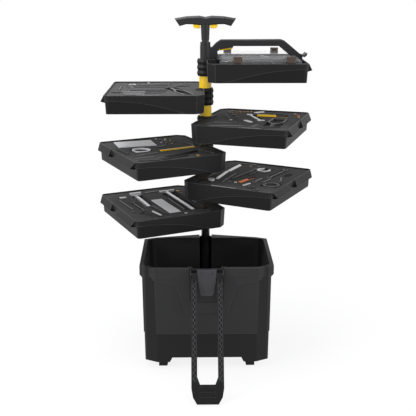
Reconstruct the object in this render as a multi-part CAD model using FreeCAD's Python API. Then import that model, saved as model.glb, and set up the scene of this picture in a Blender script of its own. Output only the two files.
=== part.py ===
"""Rolling tool case: a tub on wheels with a rising column that carries six swing-out trays.

The frame: origin on the floor under the column's axis, X to the right, Y to the back, Z up.
Lengths are millimetres. The trays are drawn in a frame of their own (X outward from the
column, Z = 0 at the tray's top rim) and then turned and lifted to where they stand.
"""
import FreeCAD
import Part
import math
import os

V = FreeCAD.Vector
os.makedirs("parts", exist_ok=True)

# Column and its running parts
POST_R = 15.5
POST_BORE_R = 13.0
POST_FOOT_Z = 54.0
POST_TOP_Z = 640.0
TUBE_R = 22.0
TUBE_BORE_R = 19.6
TUBE_BOTTOM_Z = 464.0
RUN_GAP = 0.08
SEAT_GAP = 0.03
BUSH_R = 24.5
BUSH_SPAN = (-60.0, 1.7)
COLLAR_SPAN = (-59.0, 1.2)
COLLAR_R = 27.5
COLLAR_CROWN_R = 30.5
COLLAR_WAVES = 3
STEM_R = 12.75
SPINDLE_R = 15.8
SPINDLE_TALL = 45.0
ARCH_RING_R = 18.7
HEAD_RING_R = 18.0
HEAD_RING_TALL = 13.0

# Trays: top rim height and outward direction, from the top tray down
TRAY_TOPS = [1030.0, 927.0, 827.0, 727.0, 627.0, 527.0]
TRAY_TURNS = [0.0, 180.0, -18.9, 205.6, -28.3, 204.6]
TRAY_NEAR = 4.0
TRAY_FAR = 342.0
TRAY_HALF = 192.0
TRAY_DEPTH = 63.0
TRAY_WALL = 3.0
TRAY_DRAFT = 3.0
BAY_DEEP = 31.0
BAND_STEP = 2.2
BAND_LINE = ((351.0, -19.5), (190.0, -31.5), (54.0, -68.0))
LIP_REACH = 355.0
FOAM_DROP = 4.0
FOAM_SPLIT_X = 34.7
FOAM_SPLIT = 0.3

# Tub
RIM_Z = 377.0
TUB_BOTTOM_Z = 27.0
TUB_FLOOR_Z = 48.0
FLOOR_UNDER_Z = 44.0
STEP_Z = 134.0
BAND_Z = 346.0
RIM_HALF = 226.0
FRONT_HALF = 174.0
FRONT_Y = -359.0
FRONT_SIDE_Y = -333.0
BACK_HALF = 187.0
BACK_SIDE_Y = -52.0
BACK_Y = -35.0
BACK_PEAK_Y = 5.0
SPINE_R = 26.5
CHANNEL_R = 22.7
SPINE_TOP_Z = 366.0
SHELF_Y = -38.0
RECESS_HALF = 58.0
RECESS_Z = 251.0

# Wheels and feet
WHEEL_R = 35.0
HUB_R = 27.4
WHEEL_HALF = 13.0
WHEEL_X = 164.0
WHEEL_Y = -22.0
AXLE_R = 5.0
FOOT_Y = (-321.0, -290.0)

# Strap and buckle
STRAP_PIN_Y = -372.0
STRAP_PIN_Z = 360.0
STRAP_PIN_R = 3.0
STRAP_LONG = 417.0
STRAP_THICK = 9.0
STRAP_HALF = 52.5
STRAP_LEG = 19.0
STRAP_LEAN = 31.1

# Pull handle
GRIP_DEEP = 28.0
GRIP_FOOT_Z = 1095.0


def box(x0, x1, y0, y1, z0, z1):
    """A block between two corners."""
    return Part.makeBox(x1 - x0, y1 - y0, z1 - z0, V(x0, y0, z0))


def rod(r, z0, z1, x=0.0, y=0.0):
    """An upright round bar."""
    return Part.makeCylinder(r, z1 - z0, V(x, y, z0))


def tube(outer, inner, z0, z1):
    """An upright ring or pipe on the column's axis."""
    return rod(outer, z0, z1).cut(rod(inner, z0 - 1, z1 + 1))


def cross_rod(r, x0, x1, y, z):
    """A round bar along X."""
    return Part.makeCylinder(r, x1 - x0, V(x0, y, z), V(1, 0, 0))


def loop(points):
    """A closed wire of straight edges."""
    return Part.makePolygon([V(*p) for p in points] + [V(*points[0])])


def slab(points, direction):
    """A flat outline pushed along a direction."""
    return Part.Face(loop(points)).extrude(V(*direction))


def side_slab(outline, y0, y1):
    """An outline of (x, z) points pushed along Y."""
    return slab([(x, y0, z) for x, z in outline], (0, y1 - y0, 0))


def end_slab(outline, x0, x1):
    """An outline of (y, z) points pushed along X."""
    return slab([(x0, y, z) for y, z in outline], (x1 - x0, 0, 0))


def fuse(shapes):
    """Several solids made into one."""
    whole = shapes[0]
    for shape in shapes[1:]:
        whole = whole.fuse(shape)
    return whole.removeSplitter()


def mirror_x(shape):
    """The same piece on the other side of the middle."""
    return shape.mirror(V(0, 0, 0), V(1, 0, 0))


def mirror_y(shape):
    """The same piece on the other side of a tray's long axis."""
    return shape.mirror(V(0, 0, 0), V(0, 1, 0))


def drawn_in(outline, inset):
    """A counter-clockwise outline with every side moved inward, its corners kept sharp."""
    moved = []
    for i, (x, y) in enumerate(outline):
        before = outline[i - 1]
        after = outline[(i + 1) % len(outline)]
        arriving = math.dist(before, (x, y))
        leaving = math.dist((x, y), after)
        ux, uy = (x - before[0]) / arriving, (y - before[1]) / arriving
        wx, wy = (after[0] - x) / leaving, (after[1] - y) / leaving
        reach = inset / (1 + ux * wx + uy * wy)
        moved.append((x - (uy + wy) * reach, y + (ux + wx) * reach))
    return moved


def level(outline, z):
    """A flat outline as a closed wire at a height."""
    return loop([(x, y, z) for x, y in outline])


def flat_sided(wires):
    """A solid with flat sides through level outlines whose matching sides are parallel."""
    rings = [[corner.Point for corner in wire.OrderedVertexes] for wire in wires]
    faces = [Part.Face(wires[0]), Part.Face(wires[-1])]
    for low, high in zip(rings, rings[1:]):
        faces += [Part.Face(loop([low[i - 1], low[i], high[i], high[i - 1]])) for i in range(len(low))]
    shell = Part.makeShell(faces)
    shell.sewShape()
    solid = Part.makeSolid(shell)
    return solid if solid.Volume > 0 else solid.reversed()


def bevel(shape, size, keep):
    """Cut the edges that the test function picks at 45 degrees."""
    return shape.makeChamfer(size, [e for e in shape.Edges if keep(e)])


def ngon(radius, sides, x=0.0, y=0.0):
    """The corners of a regular outline, with a flat side towards +X."""
    step = 2 * math.pi / sides
    return [(x + radius * math.cos(step * (i + 0.5)), y + radius * math.sin(step * (i + 0.5)))
            for i in range(sides)]


def prism(radius, sides, z0, z1, x=0.0, y=0.0):
    """An upright bar with a regular many-sided section."""
    return Part.Face(level(ngon(radius, sides, x, y), z0)).extrude(V(0, 0, z1 - z0))


def save(name, *shapes):
    """Write one node as a STEP file, as one solid or a group of separate ones."""
    solids = [s for shape in shapes for s in shape.Solids]
    shape = solids[0] if len(solids) == 1 else Part.makeCompound(solids)
    shape.exportStep(f"parts/{name}.step")


def stand(shape, tray):
    """Turn and lift a tray piece from its own frame to where it stands at rest."""
    turned = shape.copy()
    turned.rotate(V(0, 0, 0), V(0, 0, 1), TRAY_TURNS[tray - 1])
    turned.translate(V(0, 0, TRAY_TOPS[tray - 1]))
    return turned


# The tub

def tub_plan(inset, z):
    """The tub's outline at a height, drawn in by an inset."""
    outline = [
        (-FRONT_HALF, FRONT_Y), (FRONT_HALF, FRONT_Y), (RIM_HALF, FRONT_SIDE_Y),
        (RIM_HALF, BACK_SIDE_Y), (BACK_HALF, BACK_Y), (0, BACK_PEAK_Y),
        (-BACK_HALF, BACK_Y), (-RIM_HALF, BACK_SIDE_Y), (-RIM_HALF, FRONT_SIDE_Y),
    ]
    return level(drawn_in(outline, inset), z)


def tub_taper(inset_low, z_low, inset_high, z_high):
    """A stretch of the tub's form between two heights."""
    wires = [tub_plan(inset_low, z_low), tub_plan(inset_high, z_high)]
    return Part.makeLoft(wires, True, True)


def wheel_well(extra):
    """The space over the right rear wheel, open to the back, with some extra all round."""
    x_in = WHEEL_X - WHEEL_HALF - 5 - extra
    x_out = WHEEL_X + WHEEL_HALF + 5 + extra
    return box(x_in, x_out, WHEEL_Y - WHEEL_R - 7 - extra, 60, 0, 80 + extra)


def wheel_housing():
    """The block that stands out of the tub's back round the right rear wheel."""
    outline = [(-72, TUB_BOTTOM_Z), (6, TUB_BOTTOM_Z), (6, 82), (0, 88), (-72, 88)]
    return end_slab(outline, 130, 187)


def make_tub():
    """The moulded tub: drafted walls, stepped skirt, rim band with a shield, spine at the back."""
    lower = tub_taper(12.6, TUB_BOTTOM_Z, 11.5, STEP_Z)
    upper = tub_taper(9.3, STEP_Z, 7.4, RIM_Z)
    under_band = tub_taper(7.6, BAND_Z - 11, 0, BAND_Z)
    band = Part.Face(tub_plan(0, BAND_Z)).extrude(V(0, 0, RIM_Z - BAND_Z))
    shield_line = [(-240, 346), (-226, 336), (-176, 332), (-127, 319), (-102, 311), (-71, 214)]
    shield_line += [(-x, z) for x, z in reversed(shield_line)]
    shield_front = side_slab(shield_line, FRONT_Y - 10, FRONT_SIDE_Y - 0.5)
    shield = Part.Face(tub_plan(3.5, 200)).extrude(V(0, 0, 160)).common(shield_front)
    spine = rod(SPINE_R, TUB_BOTTOM_Z, SPINE_TOP_Z)
    housings = [wheel_housing(), mirror_x(wheel_housing())]
    body = fuse([lower, upper, under_band, band, shield, spine] + housings)
    pad = box(-RECESS_HALF - 6, RECESS_HALF + 6, FRONT_Y, -342, RECESS_Z - 8, RIM_Z + 1)
    shelf = box(-RIM_HALF, RIM_HALF, SHELF_Y, BACK_PEAK_Y + 1, RIM_Z - 4, RIM_Z + 1)
    hollow = tub_taper(17.0, TUB_FLOOR_Z, 13.0, RIM_Z + 0.01)
    for skin in (wheel_well(4), mirror_x(wheel_well(4)), pad, shelf):
        hollow = hollow.cut(skin)
    channel = rod(CHANNEL_R, TUB_FLOOR_Z, RIM_Z + 1)
    channel = channel.fuse(box(-CHANNEL_R, CHANNEL_R, SHELF_Y - 12, 0, TUB_FLOOR_Z, RIM_Z + 1))
    under = Part.Face(tub_plan(16.5, TUB_BOTTOM_Z - 1)).extrude(V(0, 0, FLOOR_UNDER_Z - TUB_BOTTOM_Z + 1))
    for housing in housings:
        under = under.cut(housing)
    body = body.cut(hollow).cut(channel).cut(under)
    for well in (wheel_well(0), mirror_x(wheel_well(0))):
        body = body.cut(well)
    arch = side_slab([(-131, 20), (-119, FLOOR_UNDER_Z), (119, FLOOR_UNDER_Z), (131, 20)], FRONT_Y, -320)
    recess = box(-RECESS_HALF, RECESS_HALF, FRONT_Y - 1, -350, RECESS_Z, RIM_Z + 1)
    recess_mouth = box(-RECESS_HALF + 9, RECESS_HALF - 9, -351, -330, RIM_Z - 8, RIM_Z + 1)
    return body.cut(arch).cut(recess).cut(recess_mouth).removeSplitter()


def make_wall_ribs():
    """Stiffening ribs inside the tub's long walls."""
    ribs = []
    for y in (-290, -230, -170, -110):
        rib = side_slab([(-212.2, 60), (-205.2, 60), (-209.6, 340), (-214.5, 340)], y, y + 4)
        ribs += [rib, mirror_x(rib)]
    return ribs


def make_foot():
    """The left front foot: a block that tapers to its tread, behind the skirt's arch."""
    outline = [(-167, 0), (-138, 0), (-131, 26), (-127, FLOOR_UNDER_Z - 0.05), (-167, FLOOR_UNDER_Z - 0.05)]
    return side_slab(outline, *FOOT_Y)


def make_wheel():
    """The right rear wheel's hub, with five windows between its spokes, and its tyre."""
    hub = cross_rod(HUB_R, WHEEL_X - 11, WHEEL_X + 11, WHEEL_Y, WHEEL_R)
    for turn in range(5):
        window = end_slab([(-4, 12), (4, 12), (9, 22), (-9, 22)], WHEEL_X - 12, WHEEL_X + 12)
        window.rotate(V(0, 0, 0), V(1, 0, 0), 72 * turn)
        window.translate(V(0, WHEEL_Y, WHEEL_R))
        hub = hub.cut(window)
    hub = hub.cut(cross_rod(AXLE_R + RUN_GAP, WHEEL_X - 20, WHEEL_X + 20, WHEEL_Y, WHEEL_R))
    tyre = cross_rod(WHEEL_R, WHEEL_X - WHEEL_HALF + 1, WHEEL_X + WHEEL_HALF - 1, WHEEL_Y, WHEEL_R)
    tyre = tyre.cut(cross_rod(HUB_R + SEAT_GAP, WHEEL_X - 20, WHEEL_X + 20, WHEEL_Y, WHEEL_R))
    return hub, tyre


def make_axle_parts():
    """The axle and the caps on its ends."""
    reach = WHEEL_X + WHEEL_HALF + 3
    axle = cross_rod(AXLE_R, -reach, reach, WHEEL_Y, WHEEL_R)
    caps = []
    for side in (-1, 1):
        x = side * (WHEEL_X + WHEEL_HALF + 1.5)
        cap = cross_rod(9, x - 1.5, x + 1.5, WHEEL_Y, WHEEL_R)
        caps.append(cap.cut(cross_rod(AXLE_R + SEAT_GAP, x - 2, x + 2, WHEEL_Y, WHEEL_R)))
    return axle, caps


# The column

def make_post_parts():
    """The base post, its bolted foot, the guide on its top and the foot's screw heads."""
    post = tube(POST_R, POST_BORE_R, POST_FOOT_Z, POST_TOP_Z)
    plan = [(-36, -80), (36, -80), (36, -26), (13, -15), (-13, -15), (-36, -26)]
    base = Part.Face(level(plan, TUB_FLOOR_Z + 0.05)).extrude(V(0, 0, POST_FOOT_Z - TUB_FLOOR_Z - 0.05))
    neck = rod(21, TUB_FLOOR_Z + 0.05, 120)
    web = end_slab([(-74, 53), (-18, 53), (-18, 112), (-26, 112)], -3, 3)
    foot = fuse([base, neck, web]).cut(rod(POST_R + SEAT_GAP, POST_FOOT_Z, 121))
    screws = [prism(6.5, 6, POST_FOOT_Z, POST_FOOT_Z + 4.5, x, y) for x in (-26, 26) for y in (-70, -36)]
    guide = tube(TUBE_BORE_R - RUN_GAP, POST_R + SEAT_GAP, POST_TOP_Z - 90, POST_TOP_Z)
    return post, foot, guide, screws


def make_column_tube():
    """The rising tube."""
    return tube(TUBE_R, TUBE_BORE_R, TUBE_BOTTOM_Z, TRAY_TOPS[0])


def make_column_foot():
    """The slide ring in the tube's lower end."""
    return tube(TUBE_BORE_R - SEAT_GAP, POST_R + RUN_GAP, TUBE_BOTTOM_Z - 2, TUBE_BOTTOM_Z + 70)


def make_column_head():
    """The head in the tube's upper end: plug, the spindle for the arch, and a ring on top."""
    top = TRAY_TOPS[0]
    plug = rod(TUBE_BORE_R - SEAT_GAP, top - 40, top)
    spindle = rod(SPINDLE_R, top, top + SPINDLE_TALL)
    ring = rod(HEAD_RING_R, top + SPINDLE_TALL, top + SPINDLE_TALL + HEAD_RING_TALL)
    return fuse([plug, spindle, ring]).cut(rod(STEM_R + RUN_GAP, top - 50, top + 80))


def make_bush():
    """A bearing bush between the tube and a tray's collar."""
    return tube(BUSH_R, TUBE_R + RUN_GAP, *BUSH_SPAN)


def make_collar(bore, top):
    """A tray's collar: a many-sided waved grip round the column and an arm to the tray's bay."""
    low = COLLAR_SPAN[0]
    pitch = (top - low) / (2 * COLLAR_WAVES)
    wires = []
    for step in range(2 * COLLAR_WAVES + 1):
        radius = COLLAR_CROWN_R if step % 2 else COLLAR_R
        wires.append(level(ngon(radius, 12), low + step * pitch))
    ring = flat_sided(wires)
    face = [(BAY_DEEP - 0.03 - TRAY_DRAFT * z / TRAY_DEPTH, z) for z in (low, top)]
    arm = side_slab([(12, low)] + face + [(12, top)], -25, 25)
    return ring.fuse(arm).cut(rod(bore, low - 1, top + 1)).removeSplitter()


# The trays

def tray_plan(inset, z):
    """The tray's outline: rounded far corners, cut near corners and a bay round the column."""
    half = [(TRAY_NEAR, 36), (TRAY_NEAR, 168), (30, TRAY_HALF), (TRAY_FAR - 15, TRAY_HALF),
            (TRAY_FAR - 7.5, TRAY_HALF - 2), (TRAY_FAR - 2, TRAY_HALF - 7.5), (TRAY_FAR, TRAY_HALF - 15)]
    outline = [(BAY_DEEP, -28)] + [(x, -y) for x, y in half] + half[::-1] + [(BAY_DEEP, 28)]
    return level(drawn_in(outline, inset), z)


def tray_block(inset_low, z_low, inset_high, z_high):
    """A drafted block of the tray's form."""
    return flat_sided([tray_plan(inset_low, z_low), tray_plan(inset_high, z_high)])


def make_lip():
    """The sloped lip along a tray's far end, with its notch."""
    profile = [(TRAY_FAR - 2.5, -0.5), (TRAY_FAR + 1, -0.5), (LIP_REACH, -22),
               (LIP_REACH, -24), (TRAY_FAR - 1, -29), (TRAY_FAR - 3, -29)]
    lip = side_slab(profile, -TRAY_HALF, TRAY_HALF)
    ends = end_slab([(-177, 0), (177, 0), (158, -30), (-158, -30)], TRAY_FAR - 5, LIP_REACH + 1)
    notch = end_slab([(-58, 1), (22, 1), (8, -31), (-44, -31)], TRAY_FAR + 0.5, LIP_REACH + 1)
    return lip.common(ends).cut(notch)


def make_tray_shell():
    """A tray: a drafted shell whose upper band ends below in an S-shaped step, and its far lip."""
    body = tray_block(TRAY_DRAFT, -TRAY_DEPTH, 0, 0)
    start, middle, end = [V(x, 0, z) for x, z in BAND_LINE]
    corners = [V(end.x, 0, -TRAY_DEPTH - 12), V(start.x, 0, -TRAY_DEPTH - 12)]
    edges = [Part.Arc(start, middle, end).toShape(), Part.makeLine(end, corners[0]),
             Part.makeLine(corners[0], corners[1]), Part.makeLine(corners[1], start)]
    under = Part.Face(Part.Wire(edges)).extrude(V(0, 500, 0))
    under.translate(V(0, -250, 0))
    core = tray_block(TRAY_DRAFT + BAND_STEP, -TRAY_DEPTH - 0.01, BAND_STEP, 0.01)
    body = fuse([body.cut(under.cut(core)), make_lip()])
    hollow = tray_block(TRAY_DRAFT + TRAY_WALL + BAND_STEP, -TRAY_DEPTH + TRAY_WALL, TRAY_WALL, 0.01)
    return body.cut(hollow)


def make_foam(pockets):
    """A tray's foam insert, with a pocket under each tool, and its two corner pads beside the bay."""
    depth = TRAY_DEPTH - TRAY_WALL - 0.05
    block = tray_block(TRAY_DRAFT + TRAY_WALL + BAND_STEP + 0.3, -depth, TRAY_WALL + 0.7, -FOAM_DROP)
    block = block.cut(box(FOAM_SPLIT_X - FOAM_SPLIT, FOAM_SPLIT_X, -TRAY_HALF, TRAY_HALF, -TRAY_DEPTH, 0))
    for pocket in pockets:
        block = block.cut(pocket)
    return block


# Tools. Each lies along X with its middle at the origin, its underside at Z = 0.

def bar(length, r, at=0.0, y=0.0):
    """A round bar lying along X."""
    return Part.makeCylinder(r, length, V(at - length / 2, y, r), V(1, 0, 0))


def plate(length, width, thick, at=0.0, y=0.0):
    """A flat plate lying along X."""
    return box(at - length / 2, at + length / 2, y - width / 2, y + width / 2, 0, thick)


def spanner(length, width):
    """An open-ended spanner with a ring at its other end."""
    shank = plate(length - width, width * 0.4, 4)
    ring_x, jaw_x = width / 2 - length / 2, length / 2 - width / 2
    ring = prism(width * 0.52, 12, 0, 5, ring_x)
    jaw = prism(width * 0.62, 10, 0, 5, jaw_x)
    whole = fuse([shank, ring, jaw]).cut(prism(width * 0.3, 6, -1, 6, ring_x))
    return whole.cut(box(jaw_x - width * 0.05, length, -width * 0.22, width * 0.22, -1, 9))


def hex_key(length, foot, r):
    """A hexagon key with its short leg to one side."""
    section = ngon(r, 6, 0, r)
    long_leg = end_slab(section, -length / 2, length / 2)
    corner = length / 2 - r
    return fuse([long_leg, side_slab([(corner + x, z) for x, z in section], 0, foot)])


def tee_wrench(length, head, r):
    """A long rod with a cross bar on one end."""
    cross = Part.makeCylinder(r * 1.4, head, V(-length / 2, -head / 2, r * 1.4), V(0, 1, 0))
    stem = Part.makeCylinder(r, length, V(-length / 2, 0, r * 1.4), V(1, 0, 0))
    return cross.fuse(stem).removeSplitter()


def hammer(length, head):
    """A small hammer: a flat handle and a round head across its end."""
    handle = plate(length, 11, 9)
    barrel = Part.makeCylinder(9, head, V(-length / 2, -head / 2, 9), V(0, 1, 0))
    return handle.fuse(barrel).removeSplitter()


def pliers(length, spread):
    """Pliers: a round joint, a nose and two handles that spread."""
    joint = prism(10, 10, 0, 8, -length * 0.2)
    nose = slab([(-length / 2, -3, 1), (-length / 2, 3, 1), (-length * 0.2, 9, 1),
                 (-length * 0.2, -9, 1)], (0, 0, 6))
    legs = []
    for side in (-1, 1):
        legs.append(slab([
            (-length * 0.2, side * 1, 1), (-length * 0.2, side * 8, 1),
            (length * 0.05, side * spread * 0.5, 1), (length / 2, side * (spread * 0.5 - 2), 1),
            (length / 2, side * (spread * 0.5 - 9), 1), (length * 0.05, side * (spread * 0.5 - 8), 1),
        ], (0, 0, 7)))
    return fuse([joint, nose] + legs)


def driver(length, grip, r):
    """A screwdriver: a fat eight-sided grip and a thin blade."""
    handle = end_slab(ngon(r, 8, 0, r), -length / 2, -length / 2 + grip)
    blade = end_slab(ngon(r * 0.34, 6, 0, r), -length / 2 + grip - 2, length / 2)
    return fuse([handle, blade])


def socket(r, tall):
    """An upright socket with its square hole."""
    return prism(r, 12, 0, tall).cut(box(-r / 2, r / 2, -r / 2, r / 2, tall - 5, tall + 1))


def ring_tool(outer, inner, thick):
    """A flat ring, such as a bottom bracket tool's rim."""
    return prism(outer, 20, 0, thick).cut(prism(inner, 20, -1, thick + 1))


def hook_wrench(outer, inner, thick):
    """A flat ring with one side open."""
    return ring_tool(outer, inner, thick).cut(box(0, outer + 1, -inner * 0.8, inner * 0.8, -1, thick + 1))


def lay(shape, x, y, turn, sink):
    """Lay a tool in a tray, sunk below the foam's face, and cut its pocket."""
    bounds = shape.BoundBox
    gap = 1.2
    pocket = box(bounds.XMin - gap, bounds.XMax + gap, bounds.YMin - gap, bounds.YMax + gap,
                 -0.02, 80)
    placed = []
    for piece in (shape, pocket):
        piece = piece.copy()
        piece.rotate(V(0, 0, 0), V(0, 0, 1), turn)
        piece.translate(V(x, y, -FOAM_DROP - sink))
        placed.append(piece)
    return placed


# Each tray's tools: steel ones first, then the coloured ones.
# A row is the shape, its middle in the tray (X, Y), its turn and how deep it lies.
TRAY_TOOLS = {
    2: (
        [
            (ring_tool(14, 9, 4), 271, -141, 0, 5),
            (spanner(170, 20), 200, -84, 4, 5),
            (spanner(150, 17), 200, -46, 4, 5),
            (hex_key(140, 34, 2.5), 205, 0, 4, 5),
            (pliers(190, 46), 92, 50, 111, 7),
        ],
        [
            (driver(150, 80, 9), 215, 70, 180, 14),
            (driver(130, 70, 8), 215, 120, 180, 12),
        ],
    ),
    3: (
        [
            (spanner(152, 22), 173, 48, -57, 5),
            (socket(8, 20), 66, 104, 0, 18),
            (socket(8, 20), 90, 68, 0, 18),
            (socket(7, 20), 114, 28, 0, 18),
            (socket(7, 20), 136, -16, 0, 18),
            (plate(46, 14, 6), 214, -118, 75, 5),
        ],
        [
            (driver(110, 66, 11), 228, 87, 6, 16),
            (pliers(140, 60), 268, -40, 90, 6),
        ],
    ),
    4: (
        [
            (plate(140, 100, 6), 228, -118, -9, 5),
            (ring_tool(33, 26, 5), 247, -9, 0, 4),
            (hex_key(150, 30, 2.5), 145, 104, 17, 5),
            (hex_key(110, 24, 2.0), 190, 142, 10, 5),
        ],
        [
            (plate(134, 12, 7), 125, 31, 4, 4),
            (socket(7, 12), 108, 164, 0, 9),
        ],
    ),
    5: (
        [
            (bar(107, 9, 0), 73.5, 90, 91.6, 15),
            (hook_wrench(26, 17, 5), 185, 112, 73, 4),
            (spanner(150, 18), 252, 80, 86, 4),
            (ring_tool(30, 21, 5), 294, -77, 0, 4),
            (socket(11, 24), 250, -143, 0, 20),
            (socket(9, 20), 276, -168, 0, 18),
            (bar(100, 4, 0), 163, -164, -12, 7),
            (bar(140, 4, 0), 120, -50, 95, 7),
        ],
        [
            (driver(90, 50, 7), 190, -50, 80, 11),
            (socket(12, 14), 81, -111, 0, 9),
        ],
    ),
    6: (
        [
            (tee_wrench(268, 60, 5), 99.5, -10, 89, 11),
            (hammer(177, 44), 223, -68, 87.4, 13),
            (spanner(150, 14), 200, 166, 2, 4),
            (plate(24, 16, 6), 279, -124, 0, 5),
            (spanner(130, 16), 268, 10, 92, 4),
            (hex_key(84, 26, 3), 279, 130, 120, 5),
        ],
        [
            (plate(176, 40, 7), 178.5, 45, 90, 5),
        ],
    ),
}


def make_tray_contents(tray):
    """The foam of one tray with the two groups of tools that lie in it."""
    groups = []
    pockets = []
    for rows in TRAY_TOOLS[tray]:
        tools = []
        for shape, x, y, turn, sink in rows:
            tool, pocket = lay(shape, x, y, turn, sink)
            tools.append(tool)
            pockets.append(pocket)
        groups.append(tools)
    return make_foam(pockets), groups[0], groups[1]


# The top tray: divided box under two clear covers

COVER_NEAR = 46.0
COVER_FAR = 320.0
COVER_TOP = 14.0
COVER_SIDE = 180.0
HINGE_Y = 18.0
HINGE_Z = 4.5
HINGE_PIN_R = 1.6
BACK_LATCHES = (85.0, 261.0)
FRONT_LATCHES = (105.0, 281.0)
LATCH_HALF = 14.5
LATCH_PIN = (181.5, 20.0)
LATCH_PIN_R = 1.2
LEVER_PIN = (50.0, 33.5)


def make_top_shell():
    """The top tray's shell, with the ledges beside its covers and a low pad under each latch."""
    shell = make_tray_shell()
    ledge = box(20, TRAY_FAR - 8, 176, TRAY_HALF - 2.5, -3, 0)
    pieces = [shell, ledge, mirror_y(ledge)]
    for places, turn in ((BACK_LATCHES, lambda piece: piece), (FRONT_LATCHES, mirror_y)):
        for x in places:
            pieces.append(turn(box(x - 10, x + 10, COVER_SIDE + 0.6, 183.7, -1, 0.9)))
    return fuse(pieces)


def make_divider():
    """The inner grid: a centre rail with the cover hinges' ears, and cross walls."""
    low = -TRAY_DEPTH + TRAY_WALL + 0.05
    side_gap = TRAY_WALL + TRAY_DRAFT + BAND_STEP + 0.4
    near, far = BAY_DEEP + side_gap, TRAY_FAR - side_gap
    rail = box(near, far, -3, 3, low, 0)
    cap = box(near, far, -13, 13, -3, 0)
    reach = TRAY_HALF - side_gap
    walls = [box(x - 1.2, x + 1.2, -reach, reach, low, -6) for x in (130.0, 232.0)]
    ears = []
    for x in (COVER_NEAR - 4, 183, COVER_FAR + 4):
        ear = box(x - 1.5, x + 1.5, -HINGE_Y - 3, HINGE_Y + 3, -3, HINGE_Z + 3.2)
        ear = ear.cut(box(x - 2, x + 2, -HINGE_Y + 3, HINGE_Y - 3, 0, 20))
        for side in (-1, 1):
            ear = ear.cut(cross_rod(HINGE_PIN_R + SEAT_GAP, x - 2, x + 2, side * HINGE_Y, HINGE_Z))
        ears.append(ear)
    return fuse([rail, cap] + walls + ears)


def make_hinge_pins():
    """The two long pins of the clear covers."""
    pin = cross_rod(HINGE_PIN_R, COVER_NEAR - 6, COVER_FAR + 6, HINGE_Y, HINGE_Z)
    return [pin, mirror_y(pin)]


def cover_plan(inset, z):
    """The back cover's outline at a height, drawn in by an inset."""
    x0, x1 = COVER_NEAR, COVER_FAR
    y0, y1 = HINGE_Y + 7, COVER_SIDE
    c = 8
    outline = [(x0 + c, y0), (x1 - c, y0), (x1, y0 + c), (x1, y1 - c),
               (x1 - c, y1), (x0 + c, y1), (x0, y1 - c), (x0, y0 + c)]
    return level(drawn_in(outline, inset), z)


def make_cover(places):
    """The back clear cover: a crowned lid, its hinge knuckles and the lugs of its latches."""
    lid = flat_sided([cover_plan(0, 0.4), cover_plan(0, 7), cover_plan(7, COVER_TOP)])
    hollow = [cover_plan(2, 0.3), cover_plan(2, 6.2), cover_plan(8.2, COVER_TOP - 2)]
    pieces = [lid.cut(flat_sided(hollow))]
    for x0, x1 in ((COVER_NEAR + 12, COVER_NEAR + 50), (196, 230), (COVER_FAR - 50, COVER_FAR - 12)):
        knuckle = end_slab(
            [(HINGE_Y - 3.2, 2.4), (HINGE_Y - 1.4, 1.2), (HINGE_Y + 9, 1.2), (HINGE_Y + 9, 5.2),
             (HINGE_Y + 3.4, 6.4), (HINGE_Y + 1.4, 7.8), (HINGE_Y - 1.4, 7.8), (HINGE_Y - 3.2, 6.4)], x0, x1)
        pieces.append(knuckle)
    lug = [(178.4, 2.5), (180, 2.5), (180, 6), (183.7, 12), (183.7, 20.6), (182.4, 22.1),
           (180.6, 22.1), (179.3, 20.6), (174.6, 12.6), (178.4, 7.5)]
    for x in places:
        pieces += [end_slab(lug, x - 11, x - 8.3), end_slab(lug, x + 8.3, x + 11)]
        pieces.append(cross_rod(LATCH_PIN_R, x - 9, x + 9, *LATCH_PIN))
    pin_hole = cross_rod(HINGE_PIN_R + RUN_GAP, COVER_NEAR, COVER_FAR, HINGE_Y, HINGE_Z)
    return fuse(pieces).cut(pin_hole)


def make_latch(x):
    """One latch of the back cover: a plate that hangs from its pin down to the tray's catch."""
    y, z = LATCH_PIN
    face = end_slab([(y + 2.5, 1.2), (y + 5.2, 1.2), (y + 5.7, 4), (y + 5.7, 22), (y + 4.2, 23.8),
                     (y + 2.5, 23.8)], x - LATCH_HALF, x + LATCH_HALF)
    knuckle = end_slab([(y - 2.1, z - 1), (y - 1, z - 2.1), (y + 2.6, z - 2.1), (y + 2.6, z + 2.1),
                        (y - 1, z + 2.1), (y - 2.1, z + 1)], x - 8, x + 8)
    return face.fuse(knuckle).cut(cross_rod(LATCH_PIN_R + RUN_GAP, x - 20, x + 20, y, z)).removeSplitter()


# The carrying arch and its release lever, in the top tray's frame

def make_carry_arch():
    """The carrying arch: a ring on the column's head, a riser, the bar and its far leg."""
    outline = [
        (15, 0.6), (43, 0.6), (43, 27), (58, 34), (97, 39.5), (98, 44), (258, 44), (306, 5),
        (306, 0.05), (TRAY_FAR, 0.05), (TRAY_FAR, 12), (331, 19), (277, 63), (264, 67.5),
        (54, 66.5), (38, 56), (24, 41), (15, 39),
    ]
    bar_part = side_slab(outline, -11, 11)
    bar_part = bevel(bar_part, 3.0, lambda e: e.BoundBox.YLength < 0.01 and e.BoundBox.ZMin > 41
                     and e.BoundBox.XMin > 30 and e.BoundBox.XMax < 300)
    arch = bar_part.fuse(rod(ARCH_RING_R, 0.6, SPINDLE_TALL - 0.4))
    arch = arch.cut(rod(SPINDLE_R + RUN_GAP, -5, 80))
    arch = arch.cut(box(-30, 22, -30, 30, SPINDLE_TALL - 0.4, 90))
    slot = side_slab([(44, 20), (98, 30), (98, 53), (62, 53), (46, 39)], -6.4, 6.4)
    eye = Part.makeCylinder(2.0 + RUN_GAP, 40, V(LEVER_PIN[0], -20, LEVER_PIN[1]), V(0, 1, 0))
    return fuse([arch.cut(slot).cut(eye), make_strap_hook()])


def make_strap_hook():
    """The hook at the arch's far end, where the strap's grip bar catches."""
    outline = [(340, 9), (347, 7), (354, 12), (357, 20), (353, 21), (348, 14.5), (340, 14)]
    return side_slab(outline, -28, 28)


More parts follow.
